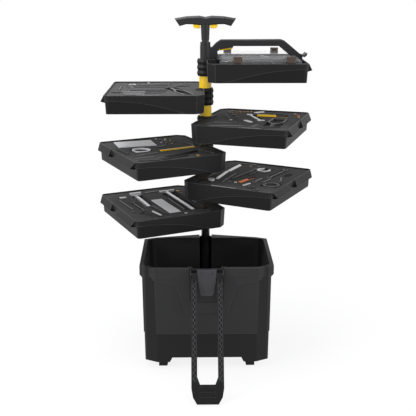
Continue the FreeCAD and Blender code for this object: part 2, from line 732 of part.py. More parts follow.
def make_release_lever():
    """The thumb lever under the arch's near end, with its two pivot pegs."""
    px, pz = LEVER_PIN
    blade = side_slab([(px - 3, pz - 3.2), (px + 4, pz - 4.5), (94, 33.5), (96, 37.5), (94, 40),
                       (px + 2, pz + 3.4), (px - 3, pz + 2)], -5.9, 5.9)
    pin = Part.makeCylinder(2.0, 19, V(px, -9.5, pz), V(0, 1, 0))
    return blade.fuse(pin).removeSplitter()


# The pull handle

def make_stem():
    """The handle's stem."""
    return tube(STEM_R, STEM_R - 2.2, 930.0, 1152.0)


def make_grip():
    """The T-shaped grip: two wings with slanted ends that dip to the middle, on a tapered neck."""
    half = [(22, 1177.5), (65, 1175.5), (107, 1168.5), (89.5, 1142.5), (66, 1149), (43, 1148.5), (15, 1146)]
    outline = [(0, 1173.5)] + half + [(-x, z) for x, z in reversed(half)]
    grip = side_slab(outline, -GRIP_DEEP / 2, GRIP_DEEP / 2)
    grip = bevel(grip, 6.0, lambda e: e.BoundBox.YLength < 0.01 and e.BoundBox.XLength > 20
                 and e.BoundBox.ZMin > 1160)
    grip = bevel(grip, 4.0, lambda e: e.BoundBox.YLength < 0.01 and e.BoundBox.XLength > 22
                 and 1142 < e.BoundBox.ZMin and e.BoundBox.ZMax < 1150)
    neck = Part.makeCone(13.8, 16.0, 1148 - GRIP_FOOT_Z, V(0, 0, GRIP_FOOT_Z))
    grip = grip.fuse(neck).cut(rod(STEM_R + SEAT_GAP, GRIP_FOOT_Z - 1, 1152))
    for side in (-1, 1):
        x0, x1 = sorted((side * 17.0, side * 43.1))
        grip = grip.cut(box(x0, x1, -7.4, 7.4, 1130, 1157))
    return grip.removeSplitter()


def make_trigger():
    """The right squeeze trigger: a curved pad on a block."""
    outline = [(17.4, 1151), (17.4, 1137), (22, 1134.2), (36, 1135), (42.7, 1140), (42.7, 1151)]
    pad = side_slab(outline, -7, 7)
    return bevel(pad, 1.6, lambda e: e.BoundBox.YLength < 0.01 and e.BoundBox.ZMax < 1142)


# The strap and its buckle

def make_buckle_base():
    """The latch plate in the tub's recess, with the ears that hold the strap's pin."""
    plate_part = box(-RECESS_HALF + 1, RECESS_HALF - 1, -354, -350.05, RECESS_Z + 1, 373)
    ears = []
    for x0, x1 in ((30.6, 32.6), (53.2, 56)):
        ear = end_slab([(-353, 340), (-353, 372), (-370, 372), (-377, 364), (-377, 354)], x0, x1)
        ears += [ear, mirror_x(ear)]
    pin_hole = cross_rod(STRAP_PIN_R + SEAT_GAP, -80, 80, STRAP_PIN_Y, STRAP_PIN_Z)
    return fuse([plate_part] + ears).cut(pin_hole)


def make_buckle():
    """The buckle lever: a tapered plate with two slots by its pin, hollow behind."""
    outline = [(-30, 376), (-30, 341), (-20, 290), (-14, 285.5), (14, 285.5), (20, 290), (30, 341), (30, 376)]
    front_y = STRAP_PIN_Y - 7.5
    lever = slab([(x, front_y, z) for x, z in outline], (0, 12.5, 0))
    lever = lever.cut(end_slab([(-383, 280), (-383, 300), (-379.5, 298), (-373, 280)], -40, 40))
    hollow = [(-26, 349), (-26, 341), (-16, 293), (16, 293), (26, 341), (26, 349)]
    lever = lever.cut(slab([(x, front_y + 5, z) for x, z in hollow], (0, 10, 0)))
    for x0 in (-20, 17.5):
        lever = lever.cut(box(x0, x0 + 2.5, front_y - 1, front_y + 3, 360, 380))
    return lever.cut(cross_rod(STRAP_PIN_R + RUN_GAP, -40, 40, STRAP_PIN_Y, STRAP_PIN_Z))


def hang(shape):
    """Turn a strap piece from hanging straight down to leaning out on the floor."""
    turned = shape.copy()
    turned.rotate(V(0, STRAP_PIN_Y, STRAP_PIN_Z), V(1, 0, 0), -STRAP_LEAN)
    return turned


def make_strap():
    """The moulded locking strap: two legs with a groove down each, joined at a ribbed grip."""
    y0 = STRAP_PIN_Y - STRAP_THICK / 2
    end = STRAP_PIN_Z - STRAP_LONG
    inner = STRAP_HALF - STRAP_LEG
    half = [(STRAP_HALF - 3, STRAP_PIN_Z), (STRAP_HALF, STRAP_PIN_Z - 70), (STRAP_HALF, end + 50),
            (STRAP_HALF - 5, end + 22), (STRAP_HALF - 18, end)]
    outline = half + [(-x, z) for x, z in reversed(half)]
    band = slab([(x, y0, z) for x, z in outline], (0, STRAP_THICK, 0))
    half = [(inner, STRAP_PIN_Z + 1), (inner, end + 86), (inner - 9, end + 62)]
    gap = half + [(-x, z) for x, z in reversed(half)]
    band = band.cut(slab([(x, y0 - 1, z) for x, z in gap], (0, STRAP_THICK + 2, 0)))
    eye = end_slab([(STRAP_PIN_Y + y, STRAP_PIN_Z + z) for y, z in ngon(6.2, 8)], inner, STRAP_HALF - 3)
    middle = STRAP_HALF - STRAP_LEG / 2
    groove = box(middle - 5, middle + 5, y0 - 1, y0 + 2, end + 70, STRAP_PIN_Z - 20)
    band = fuse([band, eye, mirror_x(eye)]).cut(groove).cut(mirror_x(groove))
    pads = [box(-26, 26, y0 - 1.4, y0 + 1, end + z, end + z + 10) for z in (12, 28, 44)]
    band = fuse([band] + pads)
    return hang(band.cut(cross_rod(STRAP_PIN_R + RUN_GAP, -80, 80, STRAP_PIN_Y, STRAP_PIN_Z)))


def main():
    """Build every piece and write it out."""
    axle, caps = make_axle_parts()
    tub = fuse([make_tub()] + make_wall_ribs())
    axle_room = cross_rod(AXLE_R + SEAT_GAP, -183, 183, WHEEL_Y, WHEEL_R)
    save("tub_shell", tub.cut(axle_room))
    save("front_feet", make_foot(), mirror_x(make_foot()))
    hub, tyre = make_wheel()
    save("wheel_hub_right", hub)
    save("wheel_tyre_right", tyre)
    save("wheel_hub_left", mirror_x(hub))
    save("wheel_tyre_left", mirror_x(tyre))
    save("axle", axle)
    save("axle_caps", *caps)
    post, foot, guide, screws = make_post_parts()
    save("base_post", post)
    save("post_foot", foot)
    save("post_guide", guide)
    save("post_screws", *screws)
    save("column_tube", make_column_tube())
    save("column_foot_ring", make_column_foot())
    save("column_head", make_column_head())
    save("tray_1_collar", stand(make_collar(TUBE_R + RUN_GAP, 0.55), 1))
    shell = make_tray_shell()
    bush = make_bush()
    collar = make_collar(BUSH_R + RUN_GAP, COLLAR_SPAN[1])
    for tray in range(2, 7):
        foam, steel, coloured = make_tray_contents(tray)
        save(f"tray_{tray}_collar", stand(collar, tray))
        save(f"tray_{tray}_bush", stand(bush, tray))
        save(f"tray_{tray}_shell", stand(shell, tray))
        save(f"tray_{tray}_foam", stand(foam, tray))
        save(f"tray_{tray}_tools", *[stand(tool, tray) for tool in steel + coloured])
    save("tray_1_shell", stand(make_top_shell(), 1))
    save("tray_1_divider", stand(make_divider(), 1))
    save("cover_hinge_pins", *[stand(pin, 1) for pin in make_hinge_pins()])
    save("cover_back", stand(make_cover(BACK_LATCHES), 1))
    save("cover_front", stand(mirror_y(make_cover(FRONT_LATCHES)), 1))
    for place, back_x, front_x in zip(("near", "far"), BACK_LATCHES, FRONT_LATCHES):
        save(f"latch_back_{place}", stand(make_latch(back_x), 1))
        save(f"latch_front_{place}", stand(mirror_y(make_latch(front_x)), 1))
    save("carry_arch", stand(make_carry_arch(), 1))
    save("release_lever", stand(make_release_lever(), 1))
    save("handle_stem", make_stem())
    save("handle_grip", make_grip())
    trigger = make_trigger()
    save("trigger_right", trigger)
    save("trigger_left", mirror_x(trigger))
    save("buckle_base", make_buckle_base())
    save("buckle_lever", make_buckle())
    save("strap_pin", cross_rod(STRAP_PIN_R, -55.8, 55.8, STRAP_PIN_Y, STRAP_PIN_Z))
    save("strap", make_strap())


main()
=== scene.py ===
# %% [markdown]
# A rolling tool case in Blender
#
# The case is a wheeled tub with a rising column. Six trays swing out from the column to both
# sides. Its pieces arrive as a fixed frame of CAD solids, in metres, each already in its place.
# This lesson gives them their finishes, adds the small things that lie in the trays and the
# ladder in the strap, and sets up a camera and a plain pale studio.

# %% Load the frame and note its size
import math

import bmesh
import bpy
from mathutils import Matrix, Vector


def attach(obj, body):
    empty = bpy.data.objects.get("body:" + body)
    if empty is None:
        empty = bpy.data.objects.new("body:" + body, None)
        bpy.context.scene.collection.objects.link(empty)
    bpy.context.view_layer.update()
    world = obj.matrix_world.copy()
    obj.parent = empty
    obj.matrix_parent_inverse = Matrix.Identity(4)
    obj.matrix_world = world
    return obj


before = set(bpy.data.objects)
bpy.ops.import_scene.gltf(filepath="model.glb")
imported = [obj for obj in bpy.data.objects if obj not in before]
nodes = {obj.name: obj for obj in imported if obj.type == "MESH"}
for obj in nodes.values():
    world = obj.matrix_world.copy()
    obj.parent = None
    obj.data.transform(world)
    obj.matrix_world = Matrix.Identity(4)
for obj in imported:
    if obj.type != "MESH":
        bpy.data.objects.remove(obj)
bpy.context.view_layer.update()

print("pieces in the frame:", len(nodes))

# %% [markdown]
# The camera
#
# The photograph was taken from a little above the handle with a longish lens, level from side to
# side. A tilt of sixteen degrees shows the trays' floors and still keeps the tub's front tall. The
# place is written in metres from the spot on the floor under the column.

# %% Place the camera
CAMERA_PLACE = (-0.0337, -2.7488, 1.2907)
CAMERA_TILT = math.radians(16.42)
CAMERA_PAN = math.radians(-0.9)
LENS = 66.46
SENSOR = 36.0

camera_data = bpy.data.cameras.new("case_camera")
camera_data.lens = LENS
camera_data.sensor_width = SENSOR
camera = bpy.data.objects.new("case_camera", camera_data)
camera.location = CAMERA_PLACE
camera.rotation_euler = (math.pi / 2 - CAMERA_TILT, 0, CAMERA_PAN)
bpy.context.collection.objects.link(camera)
bpy.context.scene.camera = camera
print("camera is", round(-CAMERA_PLACE[1], 2), "m in front of the column")

# %% [markdown]
# The floor
#
# The case stands on a pale floor that looks white to the camera and in reflections, and still
# keeps a soft share of the shadow. More light could whiten the floor too, but it would bleach the
# case. The Light Path node tells a direct look from a bounce, so the white costs no light at all.

# %% Make the floor
FLOOR_HALF = 6.0
FLOOR_DROP = 0.0005
FLOOR_WHITE = (0.86, 0.86, 0.86)
SHADOW_SHARE = 0.14
SHADOW_NEAR = 0.45
SHADOW_END = 1.1


def feed(tree, value, socket):
    """Link an input to another socket, or set it to a plain number or colour."""
    if isinstance(value, bpy.types.NodeSocket):
        tree.links.new(value, socket)
    elif isinstance(value, tuple):
        socket.default_value = (*value, 1)
    else:
        socket.default_value = value


def maths(tree, operation, *values, clamp=False):
    """The result of a Math node that is fed with sockets or plain numbers."""
    node = tree.nodes.new("ShaderNodeMath")
    node.operation = operation
    node.use_clamp = clamp
    for value, socket in zip(values, node.inputs):
        feed(tree, value, socket)
    return node.outputs[0]


def seen_directly(tree):
    """1 where a ray comes from the camera, a mirror or a clear piece, else 0."""
    path = tree.nodes.new("ShaderNodeLightPath").outputs
    camera_or_mirror = maths(tree, "MAXIMUM", path["Is Camera Ray"], path["Is Glossy Ray"])
    return maths(tree, "MAXIMUM", camera_or_mirror, path["Is Transmission Ray"])


def glow_share(tree):
    """How much of the floor is plain white: all of it far away, less where the shadow lies."""
    place = tree.nodes.new("ShaderNodeTexCoord")
    distance = tree.nodes.new("ShaderNodeVectorMath")
    distance.operation = "LENGTH"
    fade = tree.nodes.new("ShaderNodeMapRange")
    fade.inputs["From Min"].default_value = SHADOW_NEAR
    fade.inputs["From Max"].default_value = SHADOW_END
    fade.inputs["To Min"].default_value = 1.0 - SHADOW_SHARE
    fade.inputs["To Max"].default_value = 1.0
    tree.links.new(place.outputs["Object"], distance.inputs[0])
    tree.links.new(distance.outputs["Value"], fade.inputs["Value"])
    return fade.outputs["Result"]


def mix_shaders(tree, share, first, second, surface):
    """Send a mix of two shaders to an output's surface."""
    mix = tree.nodes.new("ShaderNodeMixShader")
    tree.links.new(share, mix.inputs[0])
    tree.links.new(first.outputs[0], mix.inputs[1])
    tree.links.new(second.outputs[0], mix.inputs[2])
    tree.links.new(mix.outputs[0], surface)


def make_floor():
    """A large pale floor that keeps a soft share of the shadow."""
    mesh = bpy.data.meshes.new("studio_floor")
    h = FLOOR_HALF
    mesh.from_pydata([(-h, -h, 0), (h, -h, 0), (h, h, 0), (-h, h, 0)], [], [(0, 1, 2, 3)])
    floor = bpy.data.objects.new("studio_floor", mesh)
    floor.location.z = -FLOOR_DROP
    bpy.context.collection.objects.link(floor)
    material = bpy.data.materials.new("pale_floor")
    material.use_nodes = True
    tree = material.node_tree
    tree.nodes.clear()
    out = tree.nodes.new("ShaderNodeOutputMaterial")
    lit = tree.nodes.new("ShaderNodeBsdfDiffuse")
    feed(tree, FLOOR_WHITE, lit.inputs["Color"])
    glow = tree.nodes.new("ShaderNodeEmission")
    glow.inputs["Strength"].default_value = 1.0
    share = maths(tree, "MULTIPLY", seen_directly(tree), glow_share(tree))
    mix_shaders(tree, share, lit, glow, out.inputs["Surface"])
    mesh.materials.append(material)


make_floor()
print("floor:", 2 * FLOOR_HALF, "m across")

# %% [markdown]
# The light
#
# Black plastic shows its shape through broad, soft reflections, so three large disk lamps stand
# round the case, and a plain grey world fills in between them. The world shows itself white where
# it is looked at, by the same Light Path mask as the floor.

# %% Make the world and the lamps
SKY_COLOUR = (0.95, 0.97, 1.0)
SKY_STRENGTH = 0.65
BACKDROP_WHITE = (1.0, 1.0, 1.0)
LAMP_TARGET = (0, -0.1, 0.6)
# A lamp is its name, its place, its diameter in metres and its power in watts.
LAMPS = [
    ("top_lamp", (-0.4, 0.2, 3.0), 1.8, 54),
    ("left_lamp", (-2.3, -1.7, 1.9), 1.4, 44),
    ("right_lamp", (2.4, -1.2, 1.5), 1.2, 30),
]


def background(tree, colour, strength):
    """A world shader of one colour."""
    node = tree.nodes.new("ShaderNodeBackground")
    feed(tree, colour, node.inputs["Color"])
    node.inputs["Strength"].default_value = strength
    return node


def make_world():
    """White where it is seen, a plain grey where it only lights."""
    world = bpy.data.worlds.new("studio_world")
    bpy.context.scene.world = world
    world.use_nodes = True
    tree = world.node_tree
    tree.nodes.clear()
    out = tree.nodes.new("ShaderNodeOutputWorld")
    soft = background(tree, SKY_COLOUR, SKY_STRENGTH)
    seen = background(tree, BACKDROP_WHITE, 1.0)
    mix_shaders(tree, seen_directly(tree), soft, seen, out.inputs["Surface"])


def make_lamp(name, place, diameter, power):
    """A large soft disk lamp that looks at the middle of the case."""
    data = bpy.data.lights.new(name, "AREA")
    data.shape = "DISK"
    data.size = diameter
    data.energy = power
    lamp = bpy.data.objects.new(name, data)
    lamp.location = place
    to_case = Vector(LAMP_TARGET) - Vector(place)
    lamp.rotation_euler = to_case.to_track_quat("-Z", "Y").to_euler()
    bpy.context.collection.objects.link(lamp)


make_world()
for lamp_values in LAMPS:
    make_lamp(*lamp_values)
bpy.context.scene.view_settings.view_transform = "Standard"
print("lamps:", [name for name, *_ in LAMPS])

# %% [markdown]
# Grain and handling marks
#
# Moulded plastic is never one flat tone. It has a fine spark-eroded grain and faint cloudy marks
# where hands touch it. An image could carry both, but each piece would then need its own layout.
# A node group over the piece's own coordinates needs none. It is built once and placed in every
# finish with that finish's values. A group gives out a mask or a height only; the shader stays in
# each material.

# %% Build the grain and the handling marks
COARSE_GRAIN_SCALE = 60.0
COARSE_GRAIN_DETAIL = 3.0
CLOUD_DETAIL = 6.0
CLOUD_ROUGHNESS = 0.62
NOISE_MIDDLE = 0.5


def new_group(name, inputs, output):
    """An empty node group with named number inputs and one output."""
    group = bpy.data.node_groups.new(name, "ShaderNodeTree")
    for label, value in inputs:
        socket = group.interface.new_socket(label, in_out="INPUT", socket_type="NodeSocketFloat")
        socket.default_value = value
    group.interface.new_socket(output, in_out="OUTPUT", socket_type="NodeSocketFloat")
    given = group.nodes.new("NodeGroupInput").outputs
    result = group.nodes.new("NodeGroupOutput").inputs[output]
    return group, given, result


def own_place(tree):
    """The piece's own coordinates, which move with it."""
    return tree.nodes.new("ShaderNodeTexCoord").outputs["Object"]


def build_grain():
    """A fine pebbled grain: two sizes of noise, one laid into the other."""
    sockets = [("Scale", 900.0), ("Coarse Share", 0.35)]
    group, given, result = new_group("moulded_grain", sockets, "Height")
    place = own_place(group)
    fine = group.nodes.new("ShaderNodeTexVoronoi")
    fine.feature = "SMOOTH_F1"
    coarse = group.nodes.new("ShaderNodeTexNoise")
    coarse.inputs["Scale"].default_value = COARSE_GRAIN_SCALE
    coarse.inputs["Detail"].default_value = COARSE_GRAIN_DETAIL
    mix = group.nodes.new("ShaderNodeMix")
    links = group.links
    links.new(place, fine.inputs["Vector"])
    links.new(place, coarse.inputs["Vector"])
    links.new(given["Scale"], fine.inputs["Scale"])
    links.new(given["Coarse Share"], mix.inputs[0])
    links.new(fine.outputs["Distance"], mix.inputs[2])
    links.new(coarse.outputs[0], mix.inputs[3])
    links.new(mix.outputs[0], result)
    return group


def build_handling():
    """Cloudy marks: a slow noise that is stretched to a soft mask."""
    group, given, result = new_group("handling_marks", [("Scale", 9.0), ("Contrast", 1.6)], "Mask")
    cloud = group.nodes.new("ShaderNodeTexNoise")
    cloud.inputs["Detail"].default_value = CLOUD_DETAIL
    cloud.inputs["Roughness"].default_value = CLOUD_ROUGHNESS
    group.links.new(own_place(group), cloud.inputs["Vector"])
    group.links.new(given["Scale"], cloud.inputs["Scale"])
    centred = maths(group, "SUBTRACT", cloud.outputs[0], NOISE_MIDDLE)
    stretched = maths(group, "MULTIPLY_ADD", centred, given["Contrast"], NOISE_MIDDLE, clamp=True)
    group.links.new(stretched, result)
    return group


GRAIN = build_grain()
HANDLING = build_handling()
print("effects for plastic:", GRAIN.name, HANDLING.name)

# %% [markdown]
# Rubbed edges with a painted highlight, and brushed steel
#
# The corners of the tub and the trays are paler: rubbed, and with a painted highlight where light
# would catch their rounded edges. Steel tools keep the fine lines of the belt that ground them.
# Wear could be painted by hand, corner by corner. Here the angle between the true normal and a
# rounded one finds the edges of every piece alike. The lines are a noise that is squeezed along
# one direction.

# %% Build the edge wear with its painted highlight, and the brushed lines
BEVEL_SAMPLES = 4
BRUSH_DETAIL = 4.0


def build_edge_wear_and_highlight():
    """A mask of rubbed edges with a painted highlight: the true normal's angle to a rounded one."""
    group, given, result = new_group("edge_wear_and_highlight", [("Width", 0.0016), ("Strength", 5.0)], "Mask")
    rounded = group.nodes.new("ShaderNodeBevel")
    rounded.samples = BEVEL_SAMPLES
    true = group.nodes.new("ShaderNodeNewGeometry")
    dot = group.nodes.new("ShaderNodeVectorMath")
    dot.operation = "DOT_PRODUCT"
    group.links.new(given["Width"], rounded.inputs["Radius"])
    group.links.new(rounded.outputs[0], dot.inputs[0])
    group.links.new(true.outputs["Normal"], dot.inputs[1])
    turned_away = maths(group, "SUBTRACT", 1.0, dot.outputs["Value"])
    worn_and_lit = maths(group, "MULTIPLY", turned_away, given["Strength"], clamp=True)
    group.links.new(worn_and_lit, result)
    return group


def build_brushing():
    """Fine lines along one direction, for drawn and ground steel."""
    sockets = [("Scale", 120.0), ("Stretch", 22.0)]
    group, given, result = new_group("brushed_lines", sockets, "Height")
    squeeze = group.nodes.new("ShaderNodeCombineXYZ")
    squeeze.inputs["X"].default_value = 1.0
    squeeze.inputs["Y"].default_value = 1.0
    product = group.nodes.new("ShaderNodeVectorMath")
    product.operation = "MULTIPLY"
    lines = group.nodes.new("ShaderNodeTexNoise")
    lines.inputs["Detail"].default_value = BRUSH_DETAIL
    links = group.links
    links.new(given["Stretch"], squeeze.inputs["Z"])
    links.new(own_place(group), product.inputs[0])
    links.new(squeeze.outputs[0], product.inputs[1])
    links.new(product.outputs[0], lines.inputs["Vector"])
    links.new(given["Scale"], lines.inputs["Scale"])
    links.new(lines.outputs[0], result)
    return group


EDGE_WEAR_AND_HIGHLIGHT = build_edge_wear_and_highlight()
BRUSHING = build_brushing()
print("effects for edges and steel:", EDGE_WEAR_AND_HIGHLIGHT.name, BRUSHING.name)

# %% [markdown]
# Masks by place
#
# Some finishes change from place to place on one piece: a bright tool among dull ones, or the
# wall under a tray's step. Separate material slots would need faces to be picked out. A mask that
# is worked out from the piece's own coordinates needs no picking, and it moves with the piece.

# %% Build the masks by place

def split_place(group):
    """The piece's own X, Y and Z."""
    split = group.nodes.new("ShaderNodeSeparateXYZ")
    group.links.new(own_place(group), split.inputs[0])
    return split.outputs


def build_zone():
    """A mask that is 1 inside a turned rectangle, seen from above, and 0 outside it."""
    sockets = [("X", 0.0), ("Y", 0.0), ("Turn", 0.0), ("Half Long", 0.05), ("Half Wide", 0.01)]
    group, given, result = new_group("zone", sockets, "Mask")
    own_x, own_y, _ = split_place(group)
    dx = maths(group, "SUBTRACT", own_x, given["X"])
    dy = maths(group, "SUBTRACT", own_y, given["Y"])
    cosine = maths(group, "COSINE", given["Turn"])
    sine = maths(group, "SINE", given["Turn"])
    along = maths(group, "MULTIPLY_ADD", dx, cosine, maths(group, "MULTIPLY", dy, sine))
    across = maths(group, "SUBTRACT", maths(group, "MULTIPLY", dy, cosine),
                   maths(group, "MULTIPLY", dx, sine))
    in_length = maths(group, "LESS_THAN", maths(group, "ABSOLUTE", along), given["Half Long"])
    in_width = maths(group, "LESS_THAN", maths(group, "ABSOLUTE", across), given["Half Wide"])
    group.links.new(maths(group, "MULTIPLY", in_length, in_width), result)
    return group


def build_under_band():
    """A mask that is 1 below a tray's S-shaped step: a curve of height over the tray's own X."""
    sockets = [("Turn", 0.0), ("Top", 0.0), ("Level", 0.0), ("Slope", 0.0), ("Curl", 0.0)]
    group, given, result = new_group("under_band", sockets, "Mask")
    own_x, own_y, own_z = split_place(group)
    cosine = maths(group, "COSINE", given["Turn"])
    sine = maths(group, "SINE", given["Turn"])
    along = maths(group, "MULTIPLY_ADD", own_x, cosine, maths(group, "MULTIPLY", own_y, sine))
    slope = maths(group, "MULTIPLY_ADD", along, given["Curl"], given["Slope"])
    line = maths(group, "MULTIPLY_ADD", along, slope, given["Level"])
    depth = maths(group, "SUBTRACT", own_z, given["Top"])
    group.links.new(maths(group, "LESS_THAN", depth, line), result)
    return group


ZONE = build_zone()
UNDER_BAND = build_under_band()
print("masks by place:", ZONE.name, UNDER_BAND.name)

# %% [markdown]
# Moulded plastic and rubber
#
# Nearly all of the case is black plastic, so its pieces are told apart by small differences: the
# tub is a cool charcoal, the trays a little darker, the collars a dull rubber. One recipe makes
# all of them from a few values, which keeps them a family.

# %% Write the recipe and try it on the tub
MOTTLE = 0.18
ROUND_OFF = 0.0012
GRAIN_TALL = 0.0004
COAT_ROUGHNESS = 0.3
# How far the marks take the roughness down and up.
PLASTIC_SWING = (0.05, 0.07)


def place_group(tree, group, **values):
    """One shared effect in a material, with that material's values; gives its mask or height."""
    node = tree.nodes.new("ShaderNodeGroup")
    node.node_tree = group
    for label, value in values.items():
        node.inputs[label.replace("_", " ")].default_value = value
    return node.outputs[0]


def start_material(name):
    """A material, its node tree and its Principled shader."""
    material = bpy.data.materials.new(name)
    material.use_nodes = True
    tree = material.node_tree
    return material, tree, tree.nodes["Principled BSDF"]


def mix_colours(tree, mask, low, high):
    """A colour that goes from low to high with a mask; both are plain colours or sockets."""
    mix = tree.nodes.new("ShaderNodeMix")
    mix.data_type = "RGBA"
    tree.links.new(mask, mix.inputs[0])
    feed(tree, low, mix.inputs[6])
    feed(tree, high, mix.inputs[7])
    return mix.outputs[2]


def map_range(tree, value, low, high):
    """A number that goes from low to high as value goes from 0 to 1."""
    node = tree.nodes.new("ShaderNodeMapRange")
    node.inputs["To Min"].default_value = low
    node.inputs["To Max"].default_value = high
    tree.links.new(value, node.inputs["Value"])
    return node.outputs["Result"]


def scaled(colour, share):
    """A colour made darker or lighter."""
    return tuple(share * channel for channel in colour)


def add_bump(tree, shader, height, strength, tall, under=None):
    """Raise the shader's surface by a height, over another normal where one is given."""
    bump = tree.nodes.new("ShaderNodeBump")
    bump.inputs["Strength"].default_value = strength
    bump.inputs["Distance"].default_value = tall
    tree.links.new(height, bump.inputs["Height"])
    if under is not None:
        tree.links.new(under, bump.inputs["Normal"])
    tree.links.new(bump.outputs[0], shader.inputs["Normal"])


def moulded(name, colour, worn_and_lit, rough, grain_scale=900.0, grain_depth=0.12, wear_and_highlight=5.0, edge=0.0016,
            coat=0.0, gloss=0.3):
    """Moulded plastic or rubber: mottled colour, rounded edges rubbed paler and painted with a
    highlight, fine grain.
    """
    material, tree, shader = start_material(name)
    marks = place_group(tree, HANDLING)
    edges = place_group(tree, EDGE_WEAR_AND_HIGHLIGHT, Width=edge, Strength=wear_and_highlight)
    grain = place_group(tree, GRAIN, Scale=grain_scale)
    cloudy = mix_colours(tree, marks, scaled(colour, 1 - MOTTLE), scaled(colour, 1 + MOTTLE))
    # The edges take the worn tone, which is rubbed wear and a painted highlight in one.
    tree.links.new(mix_colours(tree, edges, cloudy, worn_and_lit), shader.inputs["Base Color"])
    roughness = map_range(tree, marks, rough - PLASTIC_SWING[0], rough + PLASTIC_SWING[1])
    tree.links.new(roughness, shader.inputs["Roughness"])
    rounded = tree.nodes.new("ShaderNodeBevel")
    rounded.samples = BEVEL_SAMPLES
    rounded.inputs["Radius"].default_value = ROUND_OFF
    add_bump(tree, shader, grain, grain_depth, GRAIN_TALL, under=rounded.outputs[0])
    shader.inputs["Specular IOR Level"].default_value = gloss
    shader.inputs["Coat Weight"].default_value = coat
    shader.inputs["Coat Roughness"].default_value = COAT_ROUGHNESS
    return material


# A plastic's second colour is its edges' tone: rubbed wear and a painted highlight.
TUB_BLACK = moulded("tub_black", (0.014, 0.014, 0.015), (0.055, 0.056, 0.059), 0.55, edge=0.0024)
print("nodes in", TUB_BLACK.name + ":", len(TUB_BLACK.node_tree.nodes))

# %% Make the other plastics and rubbers
# Each second colour here is also the edges' rubbed tone with a painted highlight.
TRAY_BLACK = moulded("tray_black", (0.008, 0.008, 0.0088), (0.09, 0.09, 0.094), 0.5)
GRIP_BLACK = moulded("grip_black", (0.013, 0.013, 0.0145), (0.07, 0.07, 0.074), 0.45)
COLLAR_RUBBER = moulded("collar_rubber", (0.005, 0.005, 0.006), (0.035, 0.035, 0.037), 0.55,
                        grain_scale=500.0, grain_depth=0.25)
TYRE_RUBBER = moulded("tyre_rubber", (0.01, 0.01, 0.011), (0.03, 0.03, 0.032), 0.72,
                      grain_scale=600.0, grain_depth=0.3)
STRAP_RUBBER = moulded("strap_rubber", (0.0035, 0.0035, 0.004), (0.03, 0.03, 0.032), 0.5,
                       grain_scale=700.0, gloss=0.2)
# The strap's webs and beads get a paler grey: a painted highlight on their ridges.
STRAP_RIDGE_HIGHLIGHT = moulded("strap_ridge_highlight", (0.075, 0.075, 0.08), (0.12, 0.12, 0.125), 0.5,
                     grain_scale=700.0)
BEARING_BLACK = moulded("bearing_black", (0.012, 0.012, 0.013), (0.05, 0.05, 0.053), 0.36)
BUCKLE_GREY = moulded("buckle_grey", (0.034, 0.034, 0.038), (0.1, 0.1, 0.11), 0.42, edge=0.002)
YELLOW_PLASTIC = moulded("yellow_plastic", (0.95, 0.6, 0.004), (0.97, 0.7, 0.06), 0.38, wear_and_highlight=3.0,
                         gloss=0.5)
TUBE_YELLOW = moulded("tube_yellow", (0.97, 0.62, 0.003), (0.98, 0.72, 0.05), 0.3,
                      grain_scale=1400.0, grain_depth=0.04, wear_and_highlight=2.0, coat=0.5, gloss=0.5)
POST_BLACK = moulded("post_black", (0.008, 0.008, 0.009), (0.04, 0.04, 0.042), 0.3,
                     grain_scale=1400.0, grain_depth=0.04, coat=0.2)
print("yellows from the same recipe:", YELLOW_PLASTIC.name, TUBE_YELLOW.name)

# %% [markdown]
# Steel, foam and clear plastic
#
# The tools and the axle are ground steel. The foam inserts are matt and full of small cells. The
# covers are clear and the latches a smoky amber. A glass shader would bend the view through the
# covers, which real ones this thin hardly do, so they keep a plain alpha under a glossy coat.

# %% Make the steel, the foam and the clear and amber plastics
STEEL_MARKS = 30.0
STEEL_LINE_SHARE = 0.72
STEEL_SWING = (0.08, 0.12)
# A bump is its strength and its height in metres.
STEEL_BUMP = (0.08, 0.0002)
FOAM_MARKS = 14.0
FOAM_CELL_SCALE = 520.0
FOAM_TONES = ((0.03, 0.03, 0.032), (0.052, 0.051, 0.052))
FOAM_CELL_TONE = (0.02, 0.02, 0.021)
FOAM_ROUGHNESS = (0.78, 0.98)
FOAM_BUMP = (0.5, 0.0006)
CLEAR_MARKS = 22.0
CLEAR_MARK_SHARE = 0.9
CLEAR_SWING = 0.05
CLEAR_COAT_ROUGHNESS = 0.04
CLEAR_GLOSS = 0.5


def steel(name, colour, rough, metallic):
    """Ground steel: fine lines in its colour and its surface, cloudy marks in its roughness."""
    material, tree, shader = start_material(name)
    lines = place_group(tree, BRUSHING)
    marks = place_group(tree, HANDLING, Scale=STEEL_MARKS)
    tone = mix_colours(tree, lines, scaled(colour, STEEL_LINE_SHARE), colour)
    tree.links.new(tone, shader.inputs["Base Color"])
    roughness = map_range(tree, marks, rough - STEEL_SWING[0], rough + STEEL_SWING[1])
    tree.links.new(roughness, shader.inputs["Roughness"])
    add_bump(tree, shader, lines, *STEEL_BUMP)
    shader.inputs["Metallic"].default_value = metallic
    return material


def foam():
    """Closed-cell foam: a dark grey with small open cells on its cut faces."""
    material, tree, shader = start_material("tray_foam")
    cells = tree.nodes.new("ShaderNodeTexVoronoi")
    cells.inputs["Scale"].default_value = FOAM_CELL_SCALE
    tree.links.new(own_place(tree), cells.inputs["Vector"])
    cell = cells.outputs["Distance"]
    tone = mix_colours(tree, place_group(tree, HANDLING, Scale=FOAM_MARKS), *FOAM_TONES)
    tree.links.new(mix_colours(tree, cell, FOAM_CELL_TONE, tone), shader.inputs["Base Color"])
    tree.links.new(map_range(tree, cell, *FOAM_ROUGHNESS), shader.inputs["Roughness"])
    add_bump(tree, shader, cell, *FOAM_BUMP)
    return material


